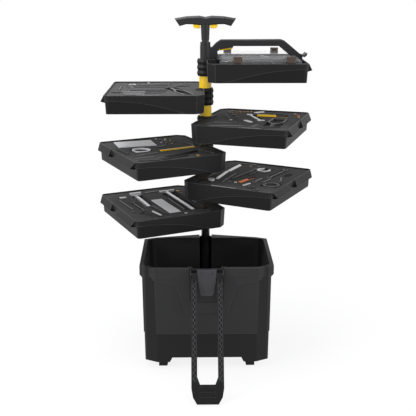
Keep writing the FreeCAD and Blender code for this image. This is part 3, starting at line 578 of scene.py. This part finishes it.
def clear_plastic(name, colour, alpha, rough, coat):
    """A clear or tinted moulding: gloss over a see-through body, with faint cloudy marks."""
    material, tree, shader = start_material(name)
    marks = place_group(tree, HANDLING, Scale=CLEAR_MARKS)
    tone = mix_colours(tree, marks, scaled(colour, CLEAR_MARK_SHARE), colour)
    tree.links.new(tone, shader.inputs["Base Color"])
    roughness = map_range(tree, marks, rough, rough + CLEAR_SWING)
    tree.links.new(roughness, shader.inputs["Roughness"])
    shader.inputs["Alpha"].default_value = alpha
    shader.inputs["Coat Weight"].default_value = coat
    shader.inputs["Coat Roughness"].default_value = CLEAR_COAT_ROUGHNESS
    shader.inputs["Specular IOR Level"].default_value = CLEAR_GLOSS
    return material


SATIN_STEEL = steel("satin_steel", (0.85, 0.85, 0.86), 0.36, metallic=0.75)
TRAY_FOAM = foam()
CLEAR_COVER = clear_plastic("clear_cover", (0.75, 0.76, 0.78), 0.07, 0.04, coat=0.35)
AMBER_LATCH = clear_plastic("amber_latch", (0.04, 0.021, 0.012), 0.97, 0.3, coat=0.2)
print("made:", SATIN_STEEL.name, TRAY_FOAM.name, CLEAR_COVER.name, AMBER_LATCH.name)

# %% [markdown]
# The tools' tones
#
# All tools of a tray are one CAD piece, yet some are bright steel, some painted and most are dull
# and dark. Rectangles in the tray's own frame say which tool gets which tone, laid one over the
# other like stencils.

# %% List the tones and the zones
MM = 0.001
# Each tray's turn about the column in degrees, counted from the right.
TRAY_TURNS = {1: 0.0, 2: 180.0, 3: -18.9, 4: 205.6, 5: -28.3, 6: 204.6}
# A tone is a colour, how metallic it is and how rough.
TONES = {
    "dull": ((0.06, 0.06, 0.064), 0.5, 0.42),
    "bright": ((0.7, 0.7, 0.72), 0.45, 0.35),
    "pale": ((0.62, 0.62, 0.63), 0.0, 0.45),
    "yellow": ((0.93, 0.55, 0.01), 0.0, 0.42),
    "orange": ((0.75, 0.16, 0.01), 0.0, 0.42),
    "gold": ((0.6, 0.36, 0.1), 0.8, 0.35),
}
# A zone is its middle and turn in the tray, in mm and degrees, its half sizes and its tone.
TOOL_ZONES = {
    2: [(271, -141, 0, 16, 16, "pale")],
    3: [(173, 48, -57, 78, 15, "bright"), (228, 87, 6, 57, 13, "yellow")],
    4: [(228, -118, -9, 72, 52, "pale"), (247, -9, 0, 35, 35, "bright"),
        (125, 31, 4, 69, 9, "yellow"), (108, 164, 0, 9, 9, "gold")],
    5: [(73.5, 90, 91.6, 56, 11, "bright"), (185, 112, 73, 28, 28, "bright"),
        (81, -111, 0, 14, 14, "pale"), (190, -50, 80, 47, 9, "orange")],
    6: [(99.5, -10, 89, 138, 34, "bright"), (223, -68, 87.4, 92, 25, "bright"),
        (178.5, 45, 90, 90, 22, "pale"), (279, -124, 0, 14, 10, "pale")],
}
print("tone zones:", sum(len(zones) for zones in TOOL_ZONES.values()))

# %% Tone the tools by zones
TOOL_LINE_SHARE = 0.6
TOOL_SWING = (0.06, 0.1)


def tray_point(tray, x, y):
    """Where a point of a tray's own frame, in mm, stands in the scene, in metres."""
    angle = math.radians(TRAY_TURNS[tray])
    return (MM * (x * math.cos(angle) - y * math.sin(angle)),
            MM * (x * math.sin(angle) + y * math.cos(angle)))


def blend(tree, mask, value, other):
    """A number that changes to another where a mask is 1."""
    mix = tree.nodes.new("ShaderNodeMix")
    tree.links.new(mask, mix.inputs[0])
    feed(tree, value, mix.inputs[2])
    mix.inputs[3].default_value = other
    return mix.outputs[0]


def tool_finish(tray, zones):
    """Ground steel for one tray's tools, with the zones' tones laid over the dull one."""
    material, tree, shader = start_material(f"tools_of_tray_{tray}")
    lines = place_group(tree, BRUSHING)
    marks = place_group(tree, HANDLING, Scale=STEEL_MARKS)
    dull, metallic, rough = TONES["dull"]
    tone = mix_colours(tree, lines, scaled(dull, TOOL_LINE_SHARE), dull)
    roughness = map_range(tree, marks, rough - TOOL_SWING[0], rough + TOOL_SWING[1])
    for x, y, turn, half_long, half_wide, label in zones:
        zone_colour, zone_metal, zone_rough = TONES[label]
        middle_x, middle_y = tray_point(tray, x, y)
        mask = place_group(tree, ZONE, X=middle_x, Y=middle_y,
                           Turn=math.radians(TRAY_TURNS[tray] + turn),
                           Half_Long=MM * half_long, Half_Wide=MM * half_wide)
        tone = mix_colours(tree, mask, tone, zone_colour)
        metallic = blend(tree, mask, metallic, zone_metal)
        roughness = blend(tree, mask, roughness, zone_rough)
    tree.links.new(tone, shader.inputs["Base Color"])
    tree.links.new(metallic, shader.inputs["Metallic"])
    tree.links.new(roughness, shader.inputs["Roughness"])
    add_bump(tree, shader, lines, *STEEL_BUMP)
    return material


TOOL_STEELS = {tray: tool_finish(tray, zones) for tray, zones in TOOL_ZONES.items()}
print("tool finishes:", [finish.name for finish in TOOL_STEELS.values()])

# %% [markdown]
# The trays' two-step walls and the tub's inside
#
# Each tray wall has a proud upper band that ends below in an S-shaped step, and the wall under it
# lies in its shade. The step is in the solid already. A painted shade under it, cut off along the
# same curve, keeps it readable in soft light. The tub's inside, which hardly any light reaches
# under the trays, gets a painted shade in the same way.

# %% Paint shade on the wall under the step and on the inside of the tub
# The height of each tray's rim, in metres.
TRAY_TOPS = {1: 1.030, 2: 0.927, 3: 0.827, 4: 0.727, 5: 0.627, 6: 0.527}
# Three points of the step: along the tray from the column, and down from its rim.
BAND_LINE = ((0.351, -0.0195), (0.190, -0.0315), (0.054, -0.068))
TRAY_WALL = (0.0045, 0.0045, 0.0052)
# The trays' edge tone, rubbed wear and a painted highlight, is far paler than their wall.
TRAY_WALL_WORN_AND_LIT = (0.085, 0.085, 0.09)
# Painted shade on the wall under the step.
LOWER_WALL_SHADE = (0.0012, 0.0012, 0.0014)
TUB_INSIDE = {"X": 0.0, "Y": -0.2015, "Turn": 0.0, "Half_Long": 0.208, "Half_Wide": 0.148}
# Painted shade on the tub's inside, which the trays keep from the light.
TUB_INSIDE_SHADE = (0.0005, 0.0003, 0.0003)


def band_curve():
    """The level, slope and curl of the parabola through the band line's three points."""
    (x1, z1), (x2, z2), (x3, z3) = BAND_LINE
    first = (z2 - z1) / (x2 - x1)
    second = (z3 - z2) / (x3 - x2)
    curl = (second - first) / (x3 - x1)
    slope = first - curl * (x1 + x2)
    return z1 - slope * x1 - curl * x1 * x1, slope, curl


def shade_where(material, tone, group, **values):
    """Lay a painted shade over a finish where a shared mask is 1."""
    tree = material.node_tree
    colour = tree.nodes["Principled BSDF"].inputs["Base Color"]
    mask = place_group(tree, group, **values)
    tree.links.new(mix_colours(tree, mask, colour.links[0].from_socket, tone), colour)


def tray_plastic(tray):
    """The trays' black with painted shade on the wall under this tray's step."""
    material = moulded(f"tray_{tray}_black", TRAY_WALL, TRAY_WALL_WORN_AND_LIT, 0.5, wear_and_highlight=8.0, edge=0.0026,
                       gloss=0.22)
    level, slope, curl = band_curve()
    shade_where(material, LOWER_WALL_SHADE, UNDER_BAND, Turn=math.radians(TRAY_TURNS[tray]),
                Top=TRAY_TOPS[tray], Level=level, Slope=slope, Curl=curl)
    return material


# Paint shade on the tub's inside.
shade_where(TUB_BLACK, TUB_INSIDE_SHADE, ZONE, **TUB_INSIDE)
TRAY_PLASTICS = {tray: tray_plastic(tray) for tray in TRAY_TOPS}
print("tray plastics:", len(TRAY_PLASTICS))

# %% [markdown]
# Giving the CAD pieces their finishes
#
# The solids keep their meshes; only their material slots change. A short table from finish to
# pieces reads better than one line for each piece, and repeated pieces are named by a loop.

# %% Assign the finishes
FINISHES = [
    (TUB_BLACK, ["tub_shell", "front_feet", "post_foot"]),
    (TRAY_BLACK, ["tray_1_divider", "buckle_base"]),
    (COLLAR_RUBBER, [f"tray_{n}_collar" for n in range(1, 7)]),
    (BEARING_BLACK, [f"tray_{n}_bush" for n in range(2, 7)]
     + ["post_guide", "column_foot_ring", "column_head", "wheel_hub_left", "wheel_hub_right"]),
    (TRAY_FOAM, [f"tray_{n}_foam" for n in range(2, 7)]),
    (GRIP_BLACK, ["carry_arch", "handle_grip"]),
    (TUBE_YELLOW, ["column_tube"]),
    (POST_BLACK, ["base_post", "handle_stem", "cover_hinge_pins", "strap_pin"]),
    (YELLOW_PLASTIC, ["release_lever", "trigger_left", "trigger_right"]),
    (CLEAR_COVER, ["cover_back", "cover_front"]),
    (AMBER_LATCH, [f"latch_{side}_{end}" for side in ("back", "front") for end in ("near", "far")]),
    (TYRE_RUBBER, ["wheel_tyre_left", "wheel_tyre_right"]),
    (STRAP_RUBBER, ["strap"]),
    (BUCKLE_GREY, ["buckle_lever"]),
    (SATIN_STEEL, ["axle", "axle_caps", "post_screws"]),
]
FINISHES += [(finish, [f"tray_{n}_tools"]) for n, finish in TOOL_STEELS.items()]
FINISHES += [(finish, [f"tray_{n}_shell"]) for n, finish in TRAY_PLASTICS.items()]


def finish_node(name, material):
    """Put one material on a CAD piece."""
    mesh = nodes[name].data
    mesh.materials.clear()
    mesh.materials.append(material)


for material, names in FINISHES:
    for name in names:
        finish_node(name, material)
print("finished", sum(len(names) for _, names in FINISHES), "of", len(nodes), "pieces")

# %% [markdown]
# The small things in the foam
#
# Between the large tools lie bits, sockets, keys and thin bars, each in a dark cut in the foam.
# They are too small to matter to the solids, so they are drawn here. Modelling each by hand would
# take long and hardly show: each is a bar with round ends, and a bit or socket is one of no length.
# A wider, flat and nearly black outline under each is the painted shade of its cut, and a nearly
# black disc on a bit's top is the painted shade of its hole.

# %% List the small tools
SMALL_FINISHES = {
    "dull": steel("dull_steel", (0.12, 0.12, 0.126), 0.42, metallic=0.5),
    "bright": steel("bright_steel", (0.8, 0.8, 0.82), 0.35, metallic=0.45),
    "pale": moulded("pale_plastic", (0.6, 0.6, 0.61), (0.7, 0.7, 0.7), 0.45, wear_and_highlight=2.0),
    "gold": steel("gold_steel", (0.62, 0.38, 0.12), 0.38, metallic=0.6),
    "orange": moulded("orange_plastic", (0.75, 0.2, 0.01), (0.8, 0.35, 0.05), 0.42, wear_and_highlight=2.0),
    "grip": moulded("tool_grip", (0.006, 0.006, 0.0065), (0.05, 0.05, 0.05), 0.5),
    # The cut finish is near black: painted shade in the foam's cuts and in the tools' holes.
    "cut": moulded("foam_cut_shade", (0.003, 0.003, 0.0032), (0.004, 0.004, 0.0042), 0.9, wear_and_highlight=0.0),
}
# A bar is its two ends and half its width in the tray's frame, in mm, and its finish.
# A bar with the cut finish is only a patch of painted shade.
SMALL_BARS = {
    2: [(130, -125, 235, -118, 2, "dull"), (110, -160, 185, -152, 3, "dull"),
        (60, -82, 100, -76, 4, "grip"), (150, 150, 270, 155, 2.5, "dull"),
        (150, 169, 230, 171, 2, "dull"), (300, 84, 318, 84, 9, "cut"),
        (300, 96, 318, 96, 9, "cut"), (305, -60, 305, 20, 2, "dull")],
    3: [(150, 140, 172, 163, 7, "bright"), (158, -32, 184, -56, 7, "bright"),
        (50, -126, 136, -82, 3, "dull"), (70, -166, 174, -138, 3.5, "dull"),
        (62, -88, 120, -58, 2, "dull"), (243, -154, 300, -124, 4, "grip"),
        (180, -172, 250, -174, 3, "dull"), (200, 128, 268, 132, 3, "grip"),
        (50, 130, 60, 165, 3, "dull")],
    4: [(305, 75, 215, 60, 3, "dull"), (312, 118, 250, 112, 3, "dull"),
        (255, 166, 318, 152, 4, "grip"), (60, 85, 42, 150, 3, "dull"),
        (58, -50, 52, 8, 3, "grip"), (170, -30, 140, -40, 3, "dull"),
        (318, -60, 314, 40, 3, "grip")],
    5: [(92, -85, 77, 28, 6, "bright"), (55, -150, 52, -26, 4, "grip"),
        (140, -60, 150, 50, 5, "grip"), (151, 58, 155, 126, 2, "dull"),
        (172, 14, 174, 74, 3, "grip"), (228, -70, 232, -14, 4, "dull"),
        (258, -56, 262, -8, 3, "dull"), (306, -22, 290, 24, 3, "dull"),
        (296, 60, 296, 92, 12, "cut"), (118, -181, 207, -183, 2, "pale"),
        (214, -128, 222, -96, 4, "pale"), (60, 160, 130, 168, 3, "dull")],
    6: [(222, 26, 215, 136, 7, "grip"), (133, -40, 136, 112, 2, "dull"),
        (305, -90, 301, 40, 2, "dull"), (64, -44, 66, 60, 3, "grip"),
        (246, 92, 238, 144, 4, "bright"), (60, 100, 66, 128, 8, "grip"),
        (140, -150, 180, -148, 4, "dull")],
}
# A bit is its place and radius, in mm, and its finish.
SMALL_BITS = {
    2: [(211, -166, 5, "pale"), (86, -106, 6, "dull"), (72, -150, 7, "dull"),
        (60, -122, 5, "dull"), (246, -160, 5, "dull")],
    3: [(80, 130, 4.5, "orange"), (92, 138, 4.5, "gold"), (104, 145, 4.5, "orange"),
        (116, 152, 4.5, "gold"), (128, 158, 4.5, "gold"), (58, 62, 5, "dull"),
        (72, 32, 5, "dull"), (90, -2, 5, "dull"), (106, -34, 5, "bright"), (296, 152, 5, "gold"),
        (308, 136, 5, "dull"), (316, 116, 5, "orange"), (322, 94, 5, "gold"),
        (326, 70, 6, "dull")],
    4: [(126, -164, 4, "bright"), (110, -160, 4, "dull"), (94, -150, 4, "gold"),
        (80, -140, 4, "dull"), (118, -142, 4, "dull"), (103, -130, 4, "bright"),
        (88, -116, 4, "gold"), (76, -104, 4, "dull"), (121, -112, 4, "dull"),
        (132, -96, 4, "bright"), (122, -76, 4, "dull"), (106, -60, 4, "gold"),
        (92, -84, 4, "dull")],
    5: [(150, 146, 6, "dull"), (120, 140, 5, "gold"), (150, -110, 6, "dull"),
        (172, -104, 5, "bright")],
    6: [(60, 158, 9, "dull"), (310, 70, 5, "dull"), (60, -90, 6, "dull"), (60, -120, 6, "gold"),
        (150, 160, 5, "bright")],
}
print("bars:", sum(map(len, SMALL_BARS.values())), "bits:", sum(map(len, SMALL_BITS.values())))

# %% Draw a small tool and the painted shade of its cut
# Heights are in metres from the tray's rim, margins in mm.
FOAM_TOP = -0.0039
SMALL_TALL = 0.0022
CUT_TALL = 0.0001
CUT_MARGIN = 2.4
RIM_CHAMFER = 0.5
END_STEPS = 6


def round_ended(bar, grow=0.0):
    """The outline of a bar with round ends, grown or shrunk by a margin."""
    x0, y0, x1, y1, half = bar
    radius = half + grow
    along = math.atan2(y1 - y0, x1 - x0)
    outline = []
    for end_x, end_y, start in ((x1, y1, along - math.pi / 2), (x0, y0, along + math.pi / 2)):
        for step in range(END_STEPS + 1):
            angle = start + math.pi * step / END_STEPS
            outline.append((end_x + radius * math.cos(angle), end_y + radius * math.sin(angle)))
    return outline


def add_layers(bm, tray, layers):
    """A closed solid through outlines at rising heights."""
    rings = []
    for outline, height in layers:
        z = TRAY_TOPS[tray] + height
        rings.append([bm.verts.new((*tray_point(tray, x, y), z)) for x, y in outline])
    bm.faces.new(rings[0][::-1])
    bm.faces.new(rings[-1])
    for low, high in zip(rings, rings[1:]):
        for i in range(len(low)):
            bm.faces.new((low[i - 1], low[i], high[i], high[i - 1]))


def add_shade_layer(meshes, tray, outline, height):
    """A thin layer of painted shade, for a cut in the foam or the hole in a tool's top."""
    dark = meshes.setdefault("cut", bmesh.new())
    add_layers(dark, tray, [(outline, height), (outline, height + CUT_TALL)])


def add_small(meshes, tray, bar, finish):
    """One small tool with chamfered rims, and the painted shade of its cut under it."""
    if finish == "cut":
        add_shade_layer(meshes, tray, round_ended(bar), FOAM_TOP)
        return
    add_shade_layer(meshes, tray, round_ended(bar, CUT_MARGIN), FOAM_TOP)
    tool = meshes.setdefault(finish, bmesh.new())
    top = FOAM_TOP + SMALL_TALL
    add_layers(tool, tray, [(round_ended(bar), FOAM_TOP),
                            (round_ended(bar), top - MM * RIM_CHAMFER),
                            (round_ended(bar, -RIM_CHAMFER), top)])


def add_hole_shade(meshes, tray, x, y, radius):
    """The painted shade of the hole in a bit's, socket's or ring spanner's top."""
    add_shade_layer(meshes, tray, round_ended((x, y, x, y, radius)), FOAM_TOP + SMALL_TALL)


print("corners in a bar's outline:", len(round_ended((0, 0, 10, 0, 2))))

# %% Lay the small tools in their cuts
# A dull bar's end ring and its hole are shares of the bar's half width, and a bit's hole is a
# share of its radius.
RING_SHARE = 2.2
RING_HOLE_SHARE = 1.1
BIT_HOLE_SHARE = 0.45


def ride_mesh(name, bm, material, body):
    """Turn mesh code into a piece that moves with a body."""
    mesh = bpy.data.meshes.new(name)
    bmesh.ops.recalc_face_normals(bm, faces=bm.faces)
    bm.to_mesh(mesh)
    bm.free()
    piece = bpy.data.objects.new(name, mesh)
    bpy.context.collection.objects.link(piece)
    mesh.materials.append(material)
    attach(piece, body)
    return piece


def lay_small_tools(tray):
    """All small tools of one tray, one piece for each finish."""
    meshes = {}
    for x0, y0, x1, y1, half, finish in SMALL_BARS[tray]:
        add_small(meshes, tray, (x0, y0, x1, y1, half), finish)
        if finish == "dull":
            add_small(meshes, tray, (x0, y0, x0, y0, RING_SHARE * half), finish)
            add_hole_shade(meshes, tray, x0, y0, RING_HOLE_SHARE * half)
    for x, y, radius, finish in SMALL_BITS[tray]:
        add_small(meshes, tray, (x, y, x, y, radius), finish)
        add_hole_shade(meshes, tray, x, y, BIT_HOLE_SHARE * radius)
    return [ride_mesh(f"tray_{tray}_small_{finish}", bm, SMALL_FINISHES[finish], f"tray_{tray}")
            for finish, bm in meshes.items()]


for tray in SMALL_BARS:
    print("tray", tray, "small pieces:", len(lay_small_tools(tray)))

# %% [markdown]
# The strap's ladder
#
# Each leg of the rubber strap has a groove with a zigzag web in it and a fine bead along both
# sides. The webs and beads are a paler grey, a painted highlight on the rubber's ridges. A bump map
# would look flat from the side, so they are real bars. They are drawn with the strap hanging
# straight down and then leaned out with it.

# %% Build the strap's zigzag webs and beads
STRAP_PIN = Vector((0, -0.372, 0.360))
STRAP_LEAN = math.radians(-31.1)
STRAP_FACE_Y = -0.3765
LEG_MIDDLE = 0.043
GROOVE_HALF = 0.005
GROOVE_LOW, GROOVE_HIGH = 0.014, 0.339
WEB_PITCH = 0.0093
WEB_HALF = 0.0007
WEB_INSET = 0.0012
# How deep webs and beads reach behind the strap's face, from front to back.
WEB_DEPTHS = (0.0003, 0.0021)
BEAD_DEPTHS = (-0.0004, 0.0004)
BEAD_HALF = 0.0003
BEAD_GAP = 0.0016


def add_bar(bm, start, end, half_wide, depths):
    """A flat bar in the strap's plane from one (x, z) point to another."""
    (xa, za), (xb, zb) = start, end
    length = math.hypot(xb - xa, zb - za)
    nx, nz = -(zb - za) / length * half_wide, (xb - xa) / length * half_wide
    corners = [(xa + nx, za + nz), (xb + nx, zb + nz), (xb - nx, zb - nz), (xa - nx, za - nz)]
    front, back = [[bm.verts.new((x, STRAP_FACE_Y + depth, z)) for x, z in corners]
                   for depth in depths]
    bm.faces.new(front)
    bm.faces.new(back[::-1])
    for i in range(4):
        bm.faces.new((front[i], back[i], back[i - 3], front[i - 3]))


def lean_out(bm):
    """Swing the drawn piece about the strap's pin to where the strap rests."""
    turn = Matrix.Rotation(STRAP_LEAN, 4, "X")
    bm.transform(Matrix.Translation(STRAP_PIN) @ turn @ Matrix.Translation(-STRAP_PIN))


def build_webs():
    """The zigzag webs in both grooves."""
    bm = bmesh.new()
    count = int((GROOVE_HIGH - GROOVE_LOW) / WEB_PITCH)
    reach = GROOVE_HALF - WEB_INSET
    for side in (-1, 1):
        for step in range(count):
            turn = 1 if step % 2 else -1
            low = (side * LEG_MIDDLE - turn * reach, GROOVE_LOW + step * WEB_PITCH)
            high = (side * LEG_MIDDLE + turn * reach, GROOVE_LOW + (step + 1) * WEB_PITCH)
            add_bar(bm, low, high, WEB_HALF, WEB_DEPTHS)
    lean_out(bm)
    return ride_mesh("strap_webs", bm, STRAP_RIDGE_HIGHLIGHT, "lock_strap")


def build_beads():
    """The fine beads beside both grooves."""
    bm = bmesh.new()
    for side in (-1, 1):
        for edge in (-1, 1):
            x = side * LEG_MIDDLE + edge * (GROOVE_HALF + BEAD_GAP)
            add_bar(bm, (x, GROOVE_LOW), (x, GROOVE_HIGH), BEAD_HALF, BEAD_DEPTHS)
    lean_out(bm)
    return ride_mesh("strap_beads", bm, STRAP_RIDGE_HIGHLIGHT, "lock_strap")


for piece in (build_webs(), build_beads()):
    print(piece.name, "faces:", len(piece.data.polygons))
